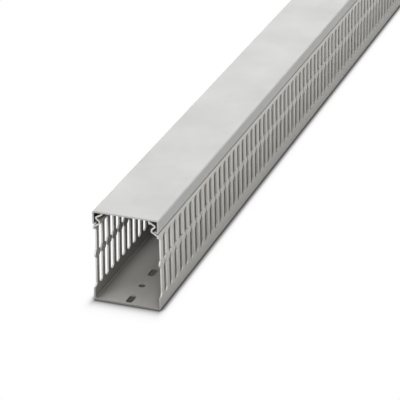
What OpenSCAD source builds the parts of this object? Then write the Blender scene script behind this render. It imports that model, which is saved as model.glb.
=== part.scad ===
// Slotted wire duct with its snap-fit cover, a sold length of rigid PVC trunking.
// X is the width, Y the length, Z up; the underside is at z = 0 and the length is centred on the origin.

/* [Duct] */
// overall length
duct_length = 2000; // [300:12.5:3000]
// outside width over the two walls
duct_width = 60; // [40:1:120]
// overall height with the cover on
duct_height = 83; // [62:1:125]
// thickness of the walls and of the snap rails
wall_t = 1.4; // [1:0.1:2]
// how far each wall leans in, from its foot to its shoulder
wall_lean = 1; // [0:0.1:2]
// thickness of the floor
floor_t = 1.6; // [1:0.1:2.5]
// radius of the two bottom outside edges
bottom_edge_r = 2.2; // [0.5:0.1:4]
// radius between the floor and each wall, inside
floor_fillet_r = 0.8; // [0.2:0.1:2]

/* [Wall slots] */
// distance from one slot to the next
slot_pitch = 12.5; // [10:0.5:25]
// width of a slot between two fingers
slot_width = 7.5; // [4:0.1:8]
// centre of the first slot, from the near end (the stock is cut through it)
first_slot = 0.8; // [0:0.1:6]
// solid strip left below the slots, from the underside
strip_below = 11.6; // [6:0.1:20]
// solid strip left above the slots, below the bend of the snap rail
strip_above = 2.3; // [1:0.1:8]
// height of the pinch, from the underside
pinch_height = 41.5; // [25:0.1:60]
// gap left between two bumps at the pinch
pinch_gap = 2.0; // [0.6:0.1:5]
// radius of a bump
bump_r = 3.6; // [2:0.1:5]

/* [Snap rail] */
// how far the waist of the rail sits in from the outside of the wall
waist_in = 7.0; // [5:0.1:10]
// how far the bead comes back out from the waist
bead_out = 3.7; // [1.5:0.1:5]
// how far the tip turns in again from the bead
tip_in = 6.0; // [3:0.1:9]
// rise of the sloping shelf, from the wall to the waist
shelf_rise = 3; // [1.5:0.1:4]
// height of the waist
waist_rise = 2.2; // [1.8:0.1:4]
// rise from the waist to the bead
bead_rise = 3; // [2:0.1:6]
// rise from the bead to the tip
tip_rise = 3.6; // [2:0.1:6]
// bending radius at the middle of the wall
bend_r = 1.1; // [0.8:0.1:1.6]

/* [Cover] */
// thickness of the cover
cover_t = 1.4; // [1:0.1:2]
// how far the sides of the cover sit in from the outside of the walls
cover_inset = 0.8; // [0.1:0.1:1.2]
// height of the cover's sides, top to bottom edge
skirt_height = 12.2; // [10:0.1:13]
// how far the lip reaches in from the inside of the cover's side
lip_reach = 2.4; // [1.5:0.1:3]
// rise of the lip toward its tip
lip_rise = 1.2; // [0.5:0.1:2]
// bending radius at the middle of the cover's edges
cover_bend_r = 0.9; // [0.8:0.1:1.2]
// gap between the tips of the rails and the cover
cover_gap = 0.2; // [0.1:0.05:0.5]

/* [Floor holes] */
// width of the oblong holes
oblong_width = 6; // [3:0.1:8]
// length of the oblong holes, end to end
oblong_length = 13; // [9:0.1:16]
// diameter of the round holes
round_d = 6; // [3:0.1:8]
// distance between holes of the same kind
hole_pitch = 50; // [40:1:100]
// from an oblong hole to the round hole after it
hole_step = 25; // [15:1:40]
// centre of the first oblong hole, from the near end
first_oblong = 8.5; // [8.5:0.5:20]

/* [Hidden] */

$fn = 48;
steps = 6;
grey = [0.74, 0.745, 0.735];
eps = 1;

half = duct_width / 2;
near_end = -duct_length / 2;
tip_z = duct_height - cover_t - cover_gap - wall_t / 2;
shoulder_z = tip_z - tip_rise - bead_rise - waist_rise - shelf_rise;
slot_top = shoulder_z - strip_above;
slot_r = slot_width / 2;
last_slot = floor((duct_length + slot_r - first_slot) / slot_pitch);
last_oblong = floor((duct_length - first_oblong - oblong_length / 2 - 2) / hole_pitch);
last_round = floor((duct_length - first_oblong - hole_step - round_d / 2 - 2) / hole_pitch);

function unit(v) = v / norm(v);
function left_of(d) = [-d[1], d[0]];
function turned(v, a) = [v[0] * cos(a) - v[1] * sin(a), v[0] * sin(a) + v[1] * cos(a)];
function ring(c, r, a0, a1) = [for (k = [0:steps]) c + r * [cos(a0 + (a1 - a0) * k / steps), sin(a0 + (a1 - a0) * k / steps)]];

// One bend of a path: points on the bend, each with its direction.
function bend(a, b, c, r) =
    let (d = unit(b - a), e = unit(c - b), s = sign(d[0] * e[1] - d[1] * e[0]), turn = acos(d * e),
         start = b - d * r * tan(turn / 2), middle = start + s * r * left_of(d))
    [for (k = [0:steps]) [middle + turned(start - middle, s * turn * k / steps), turned(d, s * turn * k / steps)]];

// A path with all its inner corners bent.
function bent(p, r) = concat(
    [[p[0], unit(p[1] - p[0])]],
    [for (i = [1:len(p) - 2]) each bend(p[i - 1], p[i], p[i + 1], r)],
    [[p[len(p) - 1], unit(p[len(p) - 1] - p[len(p) - 2])]]);

// One side of a bent path, h to its left (or to its right when h is negative).
function side(q, h) = [for (x = q) x[0] + h * left_of(x[1])];
function back(l) = [for (i = [len(l) - 1:-1:0]) l[i]];
function mirrored(l) = [for (x = l) [-x[0], x[1]]];

// The rounded end of a bent path.
function cap(q, h) =
    let (e = q[len(q) - 1], d = e[1], n = left_of(d))
    [for (k = [1:steps - 1]) e[0] + h * (cos(180 * k / steps) * -n + sin(180 * k / steps) * d)];

// Right half of the base section, out along the floor, up the wall, over the tip and down inside.
rail = bent([
    [half - wall_t / 2, max(bottom_edge_r, floor_t + floor_fillet_r) + 0.5],
    [half - wall_t / 2 - wall_lean, shoulder_z],
    [half - waist_in, shoulder_z + shelf_rise],
    [half - waist_in, shoulder_z + shelf_rise + waist_rise],
    [half - waist_in + bead_out, shoulder_z + shelf_rise + waist_rise + bead_rise],
    [half - waist_in + bead_out - tip_in, tip_z]], bend_r);
base_half = concat(
    ring([half - bottom_edge_r, bottom_edge_r], bottom_edge_r, -90, 0),
    side(rail, -wall_t / 2),
    cap(rail, wall_t / 2),
    back(side(rail, wall_t / 2)),
    ring([half - wall_t - floor_fillet_r, floor_t + floor_fillet_r], floor_fillet_r, 0, -90));

// Right half of the cover section.
cover_half_width = half - cover_inset;
// the lowest point of the skirt is on the outside of its last bend
lip_turn = 90 + atan(lip_rise / lip_reach);
skirt_corner_z = duct_height - skirt_height + cover_t / 2 + cover_bend_r * (1 - tan(lip_turn / 2));
skirt = bent([
    [0, duct_height - cover_t / 2],
    [cover_half_width - cover_t / 2, duct_height - cover_t / 2],
    [cover_half_width - cover_t / 2, skirt_corner_z],
    [cover_half_width - cover_t / 2 - lip_reach, skirt_corner_z + lip_rise]], cover_bend_r);
skirt_outer = side(skirt, cover_t / 2);
skirt_inner = side(skirt, -cover_t / 2);
skirt_cap = cap(skirt, cover_t / 2);
cover_half = concat(skirt_outer, back(skirt_cap), back(skirt_inner));

module along_y(length) {
    translate([0, length / 2, 0]) rotate([90, 0, 0]) linear_extrude(length) children();
}

// Slot outline; here the first axis is along the duct and the second is up.
module slot_shape() {
    difference() {
        union() {
            translate([-slot_r, strip_below + slot_r]) square([slot_width, slot_top - strip_below - slot_width]);
            translate([0, strip_below + slot_r]) circle(slot_r);
            translate([0, slot_top - slot_r]) circle(slot_r);
        }
        for (s = [-1, 1]) translate([s * (bump_r + pinch_gap / 2), pinch_height]) circle(bump_r);
    }
}

module slots() {
    rotate([90, 0, 90]) linear_extrude(duct_width + 2 * eps, center = true) {
        for (k = [0:last_slot]) translate([near_end + first_slot + k * slot_pitch, 0]) slot_shape();
        // where the cut end runs through a slot, the bump of the finger that was cut off is gone too
        if (first_slot < slot_r)
            translate([near_end - eps, strip_below + slot_r]) square([first_slot + eps, slot_top - strip_below - slot_width]);
    }
}

module floor_holes() {
    translate([0, near_end, -eps]) linear_extrude(floor_t + 2 * eps) {
        for (k = [0:last_oblong]) translate([0, first_oblong + k * hole_pitch]) {
            square([oblong_width, oblong_length - oblong_width], center = true);
            for (s = [-1, 1]) translate([0, s * (oblong_length - oblong_width) / 2]) circle(oblong_width / 2);
        }
        for (k = [0:last_round]) translate([0, first_oblong + hole_step + k * hole_pitch]) circle(round_d / 2);
    }
}

module duct_base() {
    color(grey) difference() {
        along_y(duct_length) polygon(concat(base_half, mirrored(back(base_half))));
        slots();
        floor_holes();
    }
}

module cover() {
    color(grey) along_y(duct_length) polygon(concat(cover_half, mirrored(back(cover_half))));
}

duct_base();
cover();
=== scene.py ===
import bpy, math
from mathutils import Vector, Matrix


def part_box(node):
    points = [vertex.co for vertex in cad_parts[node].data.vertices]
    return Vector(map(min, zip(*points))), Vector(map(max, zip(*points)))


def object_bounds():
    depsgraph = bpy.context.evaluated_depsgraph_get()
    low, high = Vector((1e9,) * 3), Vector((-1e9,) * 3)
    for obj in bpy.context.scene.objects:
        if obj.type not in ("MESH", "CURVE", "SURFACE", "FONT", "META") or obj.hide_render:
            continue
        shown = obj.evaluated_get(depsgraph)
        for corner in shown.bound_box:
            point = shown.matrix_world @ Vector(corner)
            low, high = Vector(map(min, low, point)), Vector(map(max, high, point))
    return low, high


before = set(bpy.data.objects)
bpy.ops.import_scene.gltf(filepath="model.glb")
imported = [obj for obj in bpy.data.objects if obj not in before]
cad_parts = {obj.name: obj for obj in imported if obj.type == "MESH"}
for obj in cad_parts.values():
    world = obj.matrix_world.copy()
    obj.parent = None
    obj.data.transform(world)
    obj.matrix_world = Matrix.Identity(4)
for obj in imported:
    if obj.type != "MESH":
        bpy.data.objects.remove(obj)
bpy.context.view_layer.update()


scene = bpy.context.scene
duct_low, duct_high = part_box("duct_base")
HALF_LENGTH = duct_high[1]
HALF_WIDTH = duct_high[0]

# ---------------------------------------------------------------- node helpers


def put(tree, socket, value):
    """Link a socket to another one, or set its constant."""
    if isinstance(value, bpy.types.NodeSocket):
        tree.links.new(value, socket)
    else:
        socket.default_value = value


def maths(tree, operation, a, b=None, clamp=False):
    n = tree.nodes.new("ShaderNodeMath")
    n.operation = operation
    n.use_clamp = clamp
    put(tree, n.inputs[0], a)
    if b is not None:
        put(tree, n.inputs[1], b)
    return n.outputs["Value"]


def vector_maths(tree, operation, a, b=None, out="Vector"):
    n = tree.nodes.new("ShaderNodeVectorMath")
    n.operation = operation
    put(tree, n.inputs[0], a)
    if b is not None:
        put(tree, n.inputs["Scale"] if operation == "SCALE" else n.inputs[1], b)
    return n.outputs[out]


def span(tree, value, low, high, to_low=0.0, to_high=1.0):
    """Map low..high to to_low..to_high, and stay inside that."""
    n = tree.nodes.new("ShaderNodeMapRange")
    put(tree, n.inputs["Value"], value)
    for name, number in (("From Min", low), ("From Max", high), ("To Min", to_low), ("To Max", to_high)):
        n.inputs[name].default_value = number
    return n.outputs["Result"]


def blended(tree, factor, a, b):
    n = tree.nodes.new("ShaderNodeMix")
    n.data_type = "RGBA"
    for name, value in (("Factor", factor), ("A", a), ("B", b)):
        put(tree, n.inputs[name], value)
    return n.outputs["Result"]


def noise(tree, vector, scale, detail):
    n = tree.nodes.new("ShaderNodeTexNoise")
    put(tree, n.inputs["Vector"], vector)
    n.inputs["Scale"].default_value = scale
    n.inputs["Detail"].default_value = detail
    return n.outputs["Fac"]


def openness(tree, distance, samples):
    """1 in the open, 0 where everything within the distance is closed in."""
    n = tree.nodes.new("ShaderNodeAmbientOcclusion")
    n.inputs["Distance"].default_value = distance
    n.samples = samples
    return n.outputs["AO"]


def bump(tree, height, strength, distance, normal=None):
    n = tree.nodes.new("ShaderNodeBump")
    n.inputs["Strength"].default_value = strength
    n.inputs["Distance"].default_value = distance
    put(tree, n.inputs["Height"], height)
    if normal is not None:
        put(tree, n.inputs["Normal"], normal)
    return n.outputs["Normal"]


def axis_of(tree, vector, axis):
    n = tree.nodes.new("ShaderNodeSeparateXYZ")
    put(tree, n.inputs["Vector"], vector)
    return n.outputs[axis]


# ---------------------------------------------------------------- extruded PVC

# punched faces: partly the whitening of punched PVC, partly a painted highlight
PUNCH_WHITE_AND_HIGHLIGHT_COLOUR = (0.72, 0.705, 0.67, 1)
DUST_COLOUR = (0.61, 0.615, 0.595, 1)
DIE_LINE_STRETCH = (900, 3, 900)
CLOUD_SCALE = 22.0
GRAIN_SCALE = 2600.0
SAWN_END = HALF_LENGTH - 0.0005  # a face further out than this belongs to a sawn end


def build_pvc_group():
    """Rigid PVC: die lines along Y, cloudiness, punched faces paler partly by whitening and partly as a painted
    highlight, painted shade in the hollow and in tight gaps, dust on what faces up.
    """
    g = bpy.data.node_groups.new("extruded_pvc", "ShaderNodeTree")
    g.interface.new_socket("Colour", in_out="INPUT", socket_type="NodeSocketColor").default_value = (0.5, 0.5, 0.5, 1)
    g.interface.new_socket("Dust", in_out="INPUT", socket_type="NodeSocketFloat").default_value = 0.2
    for name, kind in (("Colour", "Color"), ("Roughness", "Float"), ("Normal", "Vector")):
        g.interface.new_socket(name, in_out="OUTPUT", socket_type="NodeSocket" + kind)
    given = g.nodes.new("NodeGroupInput").outputs
    result = g.nodes.new("NodeGroupOutput").inputs
    coords = g.nodes.new("ShaderNodeTexCoord").outputs

    stretch = g.nodes.new("ShaderNodeMapping")
    stretch.inputs["Scale"].default_value = DIE_LINE_STRETCH
    put(g, stretch.inputs["Vector"], coords["Object"])
    die_lines = noise(g, stretch.outputs["Vector"], 1.0, 3.0)
    cloud = noise(g, coords["Object"], CLOUD_SCALE, 4.0)
    grain = noise(g, coords["Object"], GRAIN_SCALE, 2.0)

    tone = maths(g, "MULTIPLY", span(g, cloud, 0.3, 0.7, 0.965, 1.03), span(g, die_lines, 0.3, 0.7, 0.985, 1.015))
    skin = vector_maths(g, "SCALE", given["Colour"], tone)

    # the punched faces of the slots face along the length, and are paler than the extruded skin, partly from the
    # whitening of punched PVC and partly as a painted highlight on the slot edges; the sawn ends aren't
    along = maths(g, "ABSOLUTE", axis_of(g, coords["Normal"], "Y"))
    inner = maths(g, "LESS_THAN", maths(g, "ABSOLUTE", axis_of(g, coords["Object"], "Y")), SAWN_END)
    punched = maths(g, "MULTIPLY", span(g, along, 0.25, 0.8, 0.0, 0.85), inner)
    cut = blended(g, punched, skin, PUNCH_WHITE_AND_HIGHLIGHT_COLOUR)

    # painted shade: the colour is darkened where less light reaches, inside the hollow section and in tight gaps
    hollow = span(g, openness(g, 0.09, 12), 0.2, 0.9, 0.18)
    crease_painted_shade = span(g, openness(g, 0.004, 8), 0.3, 0.85, 0.2)
    shade_painted_colour = vector_maths(g, "SCALE", cut, maths(g, "MULTIPLY", hollow, crease_painted_shade))

    # dust lies on surfaces that face up
    facing = g.nodes.new("ShaderNodeNewGeometry").outputs["Normal"]
    upward = maths(g, "MULTIPLY", axis_of(g, facing, "Z"), given["Dust"], clamp=True)
    patchy = maths(g, "MULTIPLY", upward, cloud, clamp=True)
    # dust is laid over the colour that carries the painted shade
    put(g, result["Colour"], blended(g, patchy, shade_painted_colour, DUST_COLOUR))

    put(g, result["Roughness"], span(g, cloud, 0.3, 0.7, 0.42, 0.56))
    put(g, result["Normal"], bump(g, grain, 0.2, 0.00003, bump(g, die_lines, 0.25, 0.00004)))
    return g


PVC = build_pvc_group()


def pvc_material(name, colour, dust):
    m = bpy.data.materials.new(name)
    m.use_nodes = True
    tree = m.node_tree
    bsdf = tree.nodes["Principled BSDF"]
    bsdf.inputs["IOR"].default_value = 1.53
    skin = tree.nodes.new("ShaderNodeGroup")
    skin.node_tree = PVC
    skin.inputs["Colour"].default_value = (*colour, 1)
    skin.inputs["Dust"].default_value = dust
    for made, used in (("Colour", "Base Color"), ("Roughness", "Roughness"), ("Normal", "Normal")):
        tree.links.new(skin.outputs[made], bsdf.inputs[used])
    return m


def dress(name, material):
    o = bpy.data.objects[name]
    for slot in o.material_slots:
        slot.material = material
    if not o.material_slots:
        o.data.materials.append(material)


dress("duct_base", pvc_material("grey_pvc", (0.53, 0.516, 0.482), 0.12))
dress("cover", pvc_material("grey_pvc_cover", (0.385, 0.39, 0.375), 0.9))

# ---------------------------------------------------------------- floor and backdrop

SWEEP_HALF = 30
SHADE_REACH = 0.011  # how far the shade at the duct's foot spreads
FOOT_INSET = 0.0012  # the rounded bottom edges start this far in
AHEAD_SHARE = 0.42  # a distance ahead of the open end counts this much
SHADE_STEPS = (
    (0.04, 0.12),
    (0.12, 0.42),
    (0.22, 0.64),
    (0.34, 0.80),
    (0.48, 0.92),
    (0.7, 0.98),
)


def seen_as_backdrop(tree):
    """1 for rays from the camera and for glossy rays."""
    path = tree.nodes.new("ShaderNodeLightPath").outputs
    return maths(tree, "MAXIMUM", path["Is Camera Ray"], path["Is Glossy Ray"])


def either(tree, choice, first, second):
    n = tree.nodes.new("ShaderNodeMixShader")
    for index, value in enumerate((choice, first, second)):
        tree.links.new(value, n.inputs[index])
    return n.outputs["Shader"]


def foot_shade(tree):
    """0 under the duct, rising to 1 a few millimetres outside its footprint."""
    position = tree.nodes.new("ShaderNodeNewGeometry").outputs["Position"]
    past = vector_maths(
        tree, "SUBTRACT", vector_maths(tree, "ABSOLUTE", position), (HALF_WIDTH - FOOT_INSET, HALF_LENGTH, 1)
    )
    outside = vector_maths(tree, "MAXIMUM", past, (0, 0, 0))
    evened = vector_maths(tree, "MULTIPLY", outside, (1, AHEAD_SHARE, 0))
    away = vector_maths(tree, "LENGTH", evened, out="Value")
    n = tree.nodes.new("ShaderNodeValToRGB")
    put(tree, n.inputs["Fac"], maths(tree, "DIVIDE", away, SHADE_REACH))
    n.color_ramp.elements[0].color = (0, 0, 0, 1)
    n.color_ramp.elements[1].color = (1, 1, 1, 1)
    for at, value in SHADE_STEPS:
        n.color_ramp.elements.new(at).color = (value, value, value, 1)
    return n.outputs["Color"]


def white_sweep():
    """Seen directly or as a gloss it is a white backdrop with the duct's close shade; as a source of light it is board."""
    m = bpy.data.materials.new("white_sweep")
    m.use_nodes = True
    tree = m.node_tree
    board = tree.nodes["Principled BSDF"]
    board.inputs["Base Color"].default_value = (0.75, 0.75, 0.75, 1)
    board.inputs["Roughness"].default_value = 1.0
    board.inputs["Specular IOR Level"].default_value = 0.0
    close = span(tree, openness(tree, 0.006, 12), 0.44, 0.88)
    shade = maths(tree, "MULTIPLY", close, foot_shade(tree))
    glow = tree.nodes.new("ShaderNodeEmission")
    put(tree, glow.inputs["Strength"], span(tree, shade, 0.0, 1.0, 0.06))
    shader = either(tree, seen_as_backdrop(tree), board.outputs["BSDF"], glow.outputs["Emission"])
    tree.links.new(shader, tree.nodes["Material Output"].inputs["Surface"])
    return m


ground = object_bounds()[0].z
mesh = bpy.data.meshes.new("floor")
corners = [(x * SWEEP_HALF, y * SWEEP_HALF, ground) for x, y in ((-1, -1), (1, -1), (1, 1), (-1, 1))]
mesh.from_pydata(corners, [], [(0, 1, 2, 3)])
mesh.materials.append(white_sweep())
floor = bpy.data.objects.new("floor", mesh)
scene.collection.objects.link(floor)

world = bpy.data.worlds.new("world")
scene.world = world
world.use_nodes = True
tree = world.node_tree
fill = tree.nodes["Background"]
fill.inputs["Color"].default_value = (1, 1, 1, 1)
fill.inputs["Strength"].default_value = 0.1
sky = tree.nodes.new("ShaderNodeBackground")
sky.inputs["Color"].default_value = (1, 1, 1, 1)
shader = either(tree, seen_as_backdrop(tree), fill.outputs["Background"], sky.outputs["Background"])
tree.links.new(shader, tree.nodes["World Output"].inputs["Surface"])

# ---------------------------------------------------------------- lamps: name, place, target, size, watts

LAMPS = (
    ("softbox_top", (-0.4, 0.9, 2.6), (0, 0.4, 0), (4.5, 5.0), 112),
    ("softbox_key", (2.67, -7.62, 4.55), (0, -0.3, 0.05), (3.0, 2.4), 430),
    ("softbox_left", (-3.03, -5.55, 3.55), (0, -0.3, 0.05), (2.0, 1.6), 95),
    ("softbox_side", (1.8, 2.4, 0.7), (0, 0.8, 0), (2.2, 1.0), 18),
)
for name, place, target, size, watts in LAMPS:
    lamp = bpy.data.lights.new(name, "AREA")
    lamp.shape = "RECTANGLE"
    lamp.size, lamp.size_y = size
    lamp.energy = watts
    holder = bpy.data.objects.new(name, lamp)
    scene.collection.objects.link(holder)
    holder.location = place
    holder.rotation_mode = "QUATERNION"
    holder.rotation_quaternion = (Vector(target) - Vector(place)).to_track_quat("-Z", "Y")

# ---------------------------------------------------------------- camera

AZIMUTH, ELEVATION, ROLL = (math.radians(angle) for angle in (20.154, 25.552, -0.491))
CAMERA_PLACE = (0.5457, -2.3088, 0.7741)
LENS = 173.89

lens = bpy.data.cameras.new("camera")
lens.sensor_width = 36
lens.lens = LENS
lens.clip_start, lens.clip_end = 0.05, 200
camera = bpy.data.objects.new("camera", lens)
scene.collection.objects.link(camera)
scene.camera = camera

back = Vector(
    (
        math.sin(AZIMUTH) * math.cos(ELEVATION),
        -math.cos(AZIMUTH) * math.cos(ELEVATION),
        math.sin(ELEVATION),
    )
)
level = (-back).cross(Vector((0, 0, 1))).normalized()
upright = level.cross(-back)
right = math.cos(ROLL) * level + math.sin(ROLL) * upright
up = -math.sin(ROLL) * level + math.cos(ROLL) * upright
pose = Matrix((right, up, back)).transposed().to_4x4()
pose.translation = CAMERA_PLACE
camera.matrix_world = pose

scene.view_settings.view_transform = "Standard"
